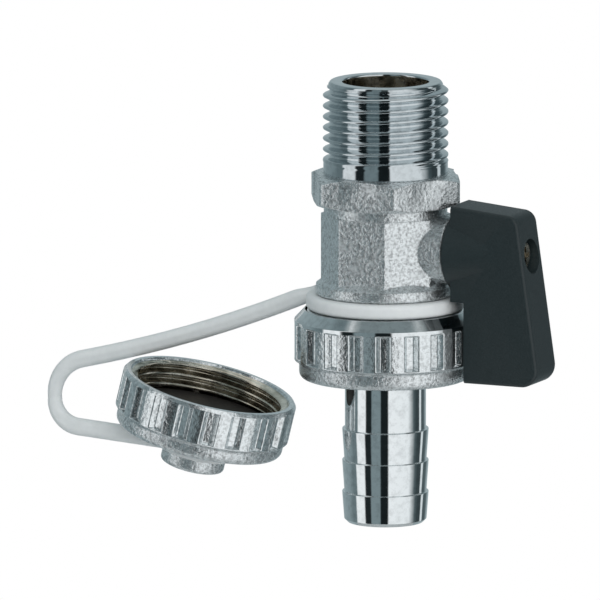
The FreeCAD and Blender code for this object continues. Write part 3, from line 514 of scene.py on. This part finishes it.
def moulded(name, dark, light, roughness, scale, depth, subsurface=0.0):
    """Plastic or rubber with a moulded grain; scale is in features a metre, depth in millimetres."""
    material, nodes, links, shader = new_material(name)
    grain = noise(nodes, links, scale, detail=3, roughness=0.6)
    links.new(tint(nodes, links, grain, dark, light), shader.inputs["Base Color"])
    links.new(spread(nodes, links, grain, roughness - 0.05, roughness + 0.08), shader.inputs["Roughness"])
    shader.inputs["Subsurface Weight"].default_value = subsurface
    shader.inputs["Subsurface Radius"].default_value = (1.0, 1.0, 0.95)
    shader.inputs["Subsurface Scale"].default_value = 1.5 * MM
    bump(nodes, links, shader, grain, depth)
    return material


POLISHED = chrome("polished_chrome", roughness=0.05, grain_size=1.1, grain_depth=0.003, speckle=0.84)
# The inlet's chrome, its plate painted darker all over as shade of the thread and neck
THREADED_PAINTED_SHADE = chrome("threaded_chrome_painted_shade", roughness=0.05, grain_size=1.1, grain_depth=0.003, speckle=0.84,
                  plate=PAINTED_SHADE_CHROME)
SATIN = chrome("satin_chrome", roughness=0.14, grain_size=0.6, grain_depth=0.07, speckle=0.7, metallic=0.96)
FORGED = chrome("forged_chrome", roughness=0.24, grain_size=0.52, grain_depth=0.16, speckle=0.5,
                metallic=0.92, edge=0.35)
DULLED = dulled_metal("dulled_brass", (0.46, 0.42, 0.34), (0.90, 0.85, 0.74))
BRASS = turned_metal("brass", (0.50, 0.36, 0.16), (0.68, 0.52, 0.27), roughness=0.25)
STEEL = turned_metal("screw_steel", (0.48, 0.44, 0.36), (0.66, 0.62, 0.53), roughness=0.28)
BLACK = moulded("black_plastic", (0.012, 0.021, 0.023), (0.019, 0.030, 0.033), roughness=0.42, scale=4000,
                depth=0.03)
WHITE = moulded("white_plastic", (0.84, 0.87, 0.87), (0.88, 0.91, 0.91), roughness=0.38, scale=700,
                depth=0.01, subsurface=0.35)
SEAT = moulded("seat_plastic", (0.76, 0.76, 0.73), (0.84, 0.84, 0.81), roughness=0.4, scale=900, depth=0.01)
RUBBER = moulded("rubber", (0.026, 0.024, 0.022), (0.042, 0.039, 0.036), roughness=0.5, scale=1500,
                 depth=0.02)


# Valve body: threaded inlet, forged middle, threaded outlet

def make_inlet():
    root = INLET_RADIUS - THREAD_DEPTH
    lip = root + LIP_STEP
    thread_top = INLET_TOP - LIP_HEIGHT
    side = INLET_RADIUS - NECK_SETBACK

    def bevelled(row):
        """The thread's first crests, turned down by the lead-in bevel."""
        def limited(angle):
            radius, z = row(angle)
            return min(radius, root + LEAD_START + LEAD_SLOPE * (thread_top - z)), z
        return limited

    rows = rounded([
        (INLET_BORE, BORE_MIDDLE, 0), (INLET_BORE, INLET_TOP, FULL), (lip - LIP_BEVEL, INLET_TOP, FULL),
        (lip, thread_top + LIP_FOOT, SMALL), (root, thread_top, 0),
    ])[1:-1]
    thread = thread_rows(INLET_NECK, thread_top, INLET_RADIUS - CREST_SETBACK, NECK_RUN, LIP_RUN)
    rows += [bevelled(row) for row in thread]
    rows += [
        *((side, INLET_NECK - drop) for drop in NECK_ROWS), (side, JOIN_TOP + SUPPORT), (side, JOIN_TOP),
        (side - SUPPORT, JOIN_TOP), (INLET_BORE + SUPPORT, JOIN_TOP), (INLET_BORE, JOIN_TOP),
        (INLET_BORE, JOIN_TOP + SUPPORT), (INLET_BORE, BORE_MIDDLE),
    ]
    mesh = loft(rows, even(ROUND_SIDES))
    for face in mesh.faces:
        middle = face.calc_center_median()
        if middle.xy.length < INLET_BORE + SLACK and middle.z < INLET_TOP - BARE_FROM:
            face.material_index = 1
    # The inlet's plate is painted darker as shade; the bore below the rim is bare brass
    piece("inlet", mesh, [THREADED_PAINTED_SHADE, DULLED], "body", "valve_body")


def make_body():
    mesh = copied("valve_body")
    for vert in mesh.verts:
        if HEX_BOTTOM - SLACK < vert.co.z < -SLACK and vert.co.xy.length > HEX_INSIDE:
            vert.co.xy *= HEX_GROWTH
    cut_level(mesh, JOIN_TOP, keep_below=True)
    cut_level(mesh, JOIN_BOTTOM, keep_below=False)
    piece("forged_body", mesh, [FORGED], "body", "valve_body")


def make_outlet():
    rows = [
        (RETAINER_BORE, JOIN_BOTTOM), (NECK_RADIUS, JOIN_BOTTOM), (NECK_RADIUS, NECK_BOTTOM),
        (NECK_RADIUS + SHOULDER_ROW, NECK_BOTTOM), (OUTLET_RADIUS - OUTLET_EDGE - OUTLET_ROW, NECK_BOTTOM),
        (OUTLET_RADIUS - OUTLET_EDGE, NECK_BOTTOM), (OUTLET_RADIUS, NECK_BOTTOM - OUTLET_EDGE),
    ]
    rows += thread_rows(OUTLET_END + OUTLET_LEAD, NECK_BOTTOM - OUTLET_EDGE - OUTLET_ROW, OUTLET_RADIUS)
    rows += [(OUTLET_RADIUS - OUTLET_CHAMFER, OUTLET_END), (RETAINER_BORE, OUTLET_END)]
    piece("outlet", loft(rows, even(ROUND_SIDES)), [POLISHED], "body", "valve_body")


# Union nut and hose tail

def rib_angles(turn, radius):
    """Angles over a full turn that fall on the edges of every groove and on either side of them."""
    marks = [-mark for mark in reversed(GROOVE_MARKS)] + [0.0] + GROOVE_MARKS
    angles = [turn + math.tau * k / RIB_COUNT + mark / radius for k in range(RIB_COUNT) for mark in marks]
    return angles + [angles[0] + math.tau]


def rib_row(z, radius, depth, turn, high, low):
    """A row across the grooves, which end square at two heights."""
    inside = min(high - z, z - low) / GROOVE_END

    def row(angle):
        pitch = math.tau / RIB_COUNT
        along = ((angle - turn + pitch / 2) % pitch - pitch / 2) * radius
        share = min((HALF_MOUTH - abs(along)) / (HALF_MOUTH - HALF_FLOOR), inside, 1.0)
        return radius - depth * max(share, 0.0), z
    return row


def groove_heights(wide_top, foot):
    """Heights of the rows from where they stand wide apart down to the grooves' lower ends."""
    return spaced(wide_top, foot + WIDE_FROM, WIDE_GAP) + spaced(foot + END_ZONE, foot, END_GAP)


def make_nut():
    cone_foot = NECK_BOTTOM - NUT_CONE
    top = cone_foot - NUT_COLLAR
    foot = top - NUT_GROOVE_LENGTH
    rows = rounded([
        (SCREWED_BORE, NECK_BOTTOM, CRISP), (SCREWED_BORE + NUT_MOUTH, NECK_BOTTOM, KEEN),
        (NUT_RADIUS, cone_foot, SMALL), (NUT_RADIUS, top + 2 * NUT_FIRST_ROW, 0),
    ])[:-1]
    heights = spaced(top + NUT_FIRST_ROW, top - END_ZONE, END_GAP) + groove_heights(top - WIDE_FROM, foot)
    rows += [rib_row(z, NUT_RADIUS, NUT_GROOVE, NUT_TURN, top, foot) for z in heights]
    rows += rounded([
        (NUT_RADIUS, foot, 0), (NUT_RADIUS, foot - RIB_STEP, SMALL), (NUT_BAND, foot - RIB_SLOPE, FULL),
        (NUT_BAND, NUT_BOTTOM, BAND_ROUND), (NUT_HOLE, NUT_BOTTOM, SMALL), (NUT_HOLE, FLANGE_BOTTOM, FINE),
        (SCREWED_BORE, FLANGE_BOTTOM, FINE), (SCREWED_BORE, FLANGE_BOTTOM + NUT_RELIEF, 0),
    ], BAND_STEPS)[1:-1]
    rows += reversed(thread_rows(OUTLET_END + NUT_THREAD_FOOT, NECK_BOTTOM - NUT_THREAD_TOP, SCREWED_BORE))
    mesh = loft(rows, rib_angles(NUT_TURN, NUT_RADIUS))
    for face in mesh.faces:
        height = face.calc_center_median().z
        if height > top:
            face.material_index = 1
        elif height < foot - FOOT_FROM:
            face.material_index = 2
    piece("ribbed_nut", mesh, [SATIN, POLISHED, FORGED], "union_nut", "union_nut")


def make_tail():
    first = NUT_BOTTOM - TAIL_NECK_LENGTH
    end = first - BARB_COUNT * BARB_PITCH
    collar_foot = NUT_BOTTOM + COLLAR_STEP
    corners = [
        (TAIL_BORE, FLANGE_TOP, SOFT), (FLANGE_RADIUS, FLANGE_TOP, SOFT),
        (FLANGE_RADIUS, FLANGE_BOTTOM, SOFT), (TAIL_COLLAR, FLANGE_BOTTOM, FINE),
        (TAIL_COLLAR, collar_foot, FINE), (TAIL_NECK, collar_foot, FINE), (TAIL_NECK, first, KEEN),
    ]
    for barb in range(BARB_COUNT):
        top = first - BARB_PITCH * barb
        corners += [(BARB_RADIUS, top - BARB_LIP, BARB_ROUND), (BARB_FOOT, top - BARB_PITCH, KEEN)]
    corners[-1] = (CHAMFER_RADIUS, end + END_CHAMFER, SMALL)
    corners += [(TAIL_END, end, SOFT), (TAIL_BORE, end, SOFT)]
    mesh = loft(rounded(corners), even(TAIL_SIDES))
    piece("barbed_tail", mesh, [POLISHED], "hose_tail", "hose_tail")


# Cap, drawn upright and leaned over about the middle of the strap's small ring

def make_cap():
    ribs_from = CAP_RIM - RIM_ROWS
    rows = [(0, CAP_FLOOR)]
    rows += rounded([
        (0, CAP_FLOOR, 0), (SCREWED_BORE, CAP_FLOOR, FULL), (SCREWED_BORE, CAP_THREAD_FOOT, 0),
    ])[1:-1]
    rows += reversed(thread_rows(CAP_THREAD_FOOT, CAP_THREAD_TOP, SCREWED_BORE, run_high=CAP_THREAD_RUN))
    rows += rounded([
        (SCREWED_BORE, CAP_RIM - RIM_INSIDE, 0), (SCREWED_BORE + RIM_BEVEL, CAP_RIM, FINE),
        (CAP_RADIUS - RIM_SLOPE, CAP_RIM, SOFT), (CAP_RADIUS, CAP_RIM - RIM_FOOT, SMALL),
        (CAP_RADIUS, CAP_RIM - RIM_END, 0),
    ])[1:-1]
    heights = spaced(ribs_from, ribs_from - RIM_ZONE, RIM_GAP)
    heights += groove_heights(CAP_RIM - RIM_WIDE, CAP_PLAIN)
    groove_top = CAP_RIM + GROOVE_OVERRUN
    rows += [rib_row(z, CAP_RADIUS, CAP_GROOVE, CAP_TURN, groove_top, CAP_PLAIN) for z in heights]
    rows += rounded([
        (CAP_RADIUS, CAP_PLAIN, 0), (CAP_RADIUS, CAP_PLAIN - RIB_STEP, SMALL),
        (CAP_BAND, CAP_PLAIN - RIB_SLOPE, FULL), (CAP_BAND, CAP_BOTTOM, BAND_ROUND),
        (NUB_RADIUS, CAP_BOTTOM, SOFT), (NUB_RADIUS, -CAP_BOTTOM, FINE), (NUB_HEAD, -CAP_BOTTOM, SOFT),
        (NUB_HEAD, NUB_END, NUB_ROUND), (0, NUB_END, 0),
    ], BAND_STEPS)[1:]
    mesh = loft(rows, rib_angles(CAP_TURN, CAP_RADIUS), closed=False)
    for face in mesh.faces:
        middle = face.calc_center_median()
        if middle.z > CAP_FLOOR - SLACK and middle.xy.length < SCREWED_BORE + WALL_SLACK:
            face.material_index = 1
        elif middle.z < CAP_PLAIN - FOOT_FROM:
            face.material_index = 2
    joint = next(j for j in frame["record"]["behaviour"]["joints"] if j["name"] == "cap_turn")
    lean = UP.rotation_difference(Vector(joint["axis"])).to_matrix().to_4x4()
    place = Matrix.Translation(Vector(joint["pos_m"]) / MM)
    bmesh.ops.transform(mesh, matrix=place @ lean, verts=mesh.verts)
    piece("ribbed_cap", mesh, [SATIN, DULLED, FORGED], "cap", "cap")


# Pieces that follow the CAD shapes

def make_strap():
    """The strap with its creases softened and its band swollen on the outer side, inside the CAD box."""
    mesh = eased(copied("strap"), STRAP_FACE, STRAP_ROUNDS)
    mesh.normal_update()
    for vert in mesh.verts:
        share = step(0.0, BAND_BLEND, BAND_NEAR - vert.co.x)
        outward = vert.normal.z if vert.co.z > BAND_TURN else -vert.normal.z
        vert.co += vert.normal * (BAND_SWELL * share * max(outward, 0.0))
        vert.co.x = max(vert.co.x, cad_box[0][0] / MM)
    piece("moulded_strap", mesh, [WHITE], "strap", "strap")


def make_lever():
    piece("lever", copied("handle"), [BLACK], "handle", "handle")


def make_screw():
    """The screw with its head standing as far out in the well as it shows."""
    mesh = copied("handle_screw")
    top = max(vert.co.x for vert in mesh.verts)
    for vert in mesh.verts:
        if vert.co.x > top - SCREW_HEAD:
            vert.co.x += SCREW_RISE
    piece("raised_screw", mesh, [STEEL], "handle", "handle_screw")


def dress_hidden():
    """Materials for the CAD nodes that stay as they are."""
    dressed = {
        POLISHED: ["ball"],
        BRASS: ["stem", "seat_retainer"],
        SEAT: ["upper_seat", "lower_seat", "thrust_washer"],
        RUBBER: ["retainer_oring", "inner_stem_oring", "outer_stem_oring", "tail_washer", "cap_washer"],
        STEEL: ["screw_washer"],
    }
    for material, names in dressed.items():
        for name in names:
            for slot in frame["nodes"][name].material_slots:
                slot.material = material


# Studio: a white surround for the camera, soft panels and dark gaps for the chrome

def facing(nodes, links, axis):
    """How far a ray's direction runs along an axis."""
    place = nodes.new("ShaderNodeTexCoord")
    dot = nodes.new("ShaderNodeVectorMath")
    dot.operation = "DOT_PRODUCT"
    dot.inputs[1].default_value = axis
    links.new(place.outputs["Generated"], dot.inputs[0])
    return dot.outputs["Value"]


def cool_grey(level):
    """A grey that is the cooler the darker it is."""
    dark = 1 - level
    return level * (1 - RED_LOSS * dark), level, level * (BLUE_BASE + BLUE_GAIN * dark), 1


def upright_panels(nodes, links, right, front):
    """Brightness of the studio all round the object, by the angle from the camera."""
    angle = nodes.new("ShaderNodeMath")
    angle.operation = "ARCTAN2"
    links.new(right, angle.inputs[0])
    links.new(front, angle.inputs[1])
    ramp = nodes.new("ShaderNodeValToRGB")
    elements = ramp.color_ramp.elements
    while len(elements) < len(PANEL_STOPS):
        elements.new(0.5)
    for element, (degrees, level) in zip(elements, PANEL_STOPS):
        element.position = (degrees + 180) / 360
        element.color = cool_grey(level)
    share = spread(nodes, links, angle.outputs["Value"], 0.0, 1.0, -math.pi, math.pi)
    links.new(share, ramp.inputs["Fac"])
    return ramp.outputs["Color"]


def mixed(nodes, links, share, first):
    """A mix that starts from one colour; its second colour is still to be set."""
    mix = nodes.new("ShaderNodeMix")
    mix.data_type = "RGBA"
    links.new(share, mix.inputs["Factor"])
    links.new(first, mix.inputs["A"])
    return mix


def make_world():
    world = bpy.data.worlds.new("studio")
    bpy.context.scene.world = world
    world.use_nodes = True
    nodes, links = world.node_tree.nodes, world.node_tree.links
    front = facing(nodes, links, FRONT)
    panels = upright_panels(nodes, links, facing(nodes, links, RIGHT), front)
    ceiling = tint(nodes, links, front, CEILING_BACK, CEILING_FRONT, 0.0, CEILING_BLEND)
    height = spread(nodes, links, facing(nodes, links, UP), 0.0, 1.0, CEILING_EDGE, CEILING_FULL)
    studio = mixed(nodes, links, height, panels)
    links.new(ceiling, studio.inputs["B"])
    seen = nodes.new("ShaderNodeLightPath")
    surround = mixed(nodes, links, seen.outputs["Is Camera Ray"], studio.outputs["Result"])
    surround.inputs["B"].default_value = WHITE_LIGHT
    links.new(surround.outputs["Result"], nodes["Background"].inputs["Color"])


def make_floor():
    mesh = bmesh.new()
    bmesh.ops.create_circle(mesh, cap_ends=True, segments=96, radius=FLOOR_RADIUS)
    data = bpy.data.meshes.new("floor")
    mesh.to_mesh(data)
    mesh.free()
    floor = bpy.data.objects.new("floor", data)
    floor.location = (0, 0, -FLOOR_DROP)
    bpy.context.scene.collection.objects.link(floor)
    material, nodes, links, shader = new_material("pale_floor")
    shader.inputs["Base Color"].default_value = (0.8, 0.8, 0.8, 1)
    shader.inputs["Roughness"].default_value = 0.9
    glow = nodes.new("ShaderNodeEmission")
    seen = nodes.new("ShaderNodeLightPath")
    mix = nodes.new("ShaderNodeMixShader")
    links.new(seen.outputs["Is Camera Ray"], mix.inputs["Fac"])
    links.new(shader.outputs["BSDF"], mix.inputs[1])
    links.new(glow.outputs["Emission"], mix.inputs[2])
    links.new(mix.outputs["Shader"], nodes["Material Output"].inputs["Surface"])
    data.materials.append(material)


def make_key():
    """A broad soft lamp for the mouldings, kept out of the chrome's reflections."""
    data = bpy.data.lights.new("key", "AREA")
    data.size = KEY_SIZE
    data.energy = KEY_POWER
    key = bpy.data.objects.new("key", data)
    towards = (FRONT + UP * KEY_RISE).normalized()
    key.location = towards * KEY_DISTANCE
    key.rotation_euler = towards.to_track_quat("Z", "Y").to_euler()
    key.visible_glossy = False
    bpy.context.scene.collection.objects.link(key)


def make_camera():
    back = FRONT * math.cos(CAMERA_ELEVATION) + UP * math.sin(CAMERA_ELEVATION)
    data = bpy.data.cameras.new("camera")
    data.sensor_width = SENSOR
    data.lens = CAMERA_DISTANCE * SENSOR / (PICTURE_WIDTH * MM)
    camera = bpy.data.objects.new("camera", data)
    camera.location = Vector(CAMERA_TARGET) * MM + back * CAMERA_DISTANCE
    camera.rotation_euler = back.to_track_quat("Z", "Y").to_euler()
    bpy.context.scene.collection.objects.link(camera)
    bpy.context.scene.camera = camera


make_inlet()
make_body()
make_outlet()
make_nut()
make_tail()
make_cap()
make_strap()
make_lever()
make_screw()
dress_hidden()
make_world()
make_floor()
make_key()
make_camera()
bpy.context.scene.view_settings.view_transform = "Standard"
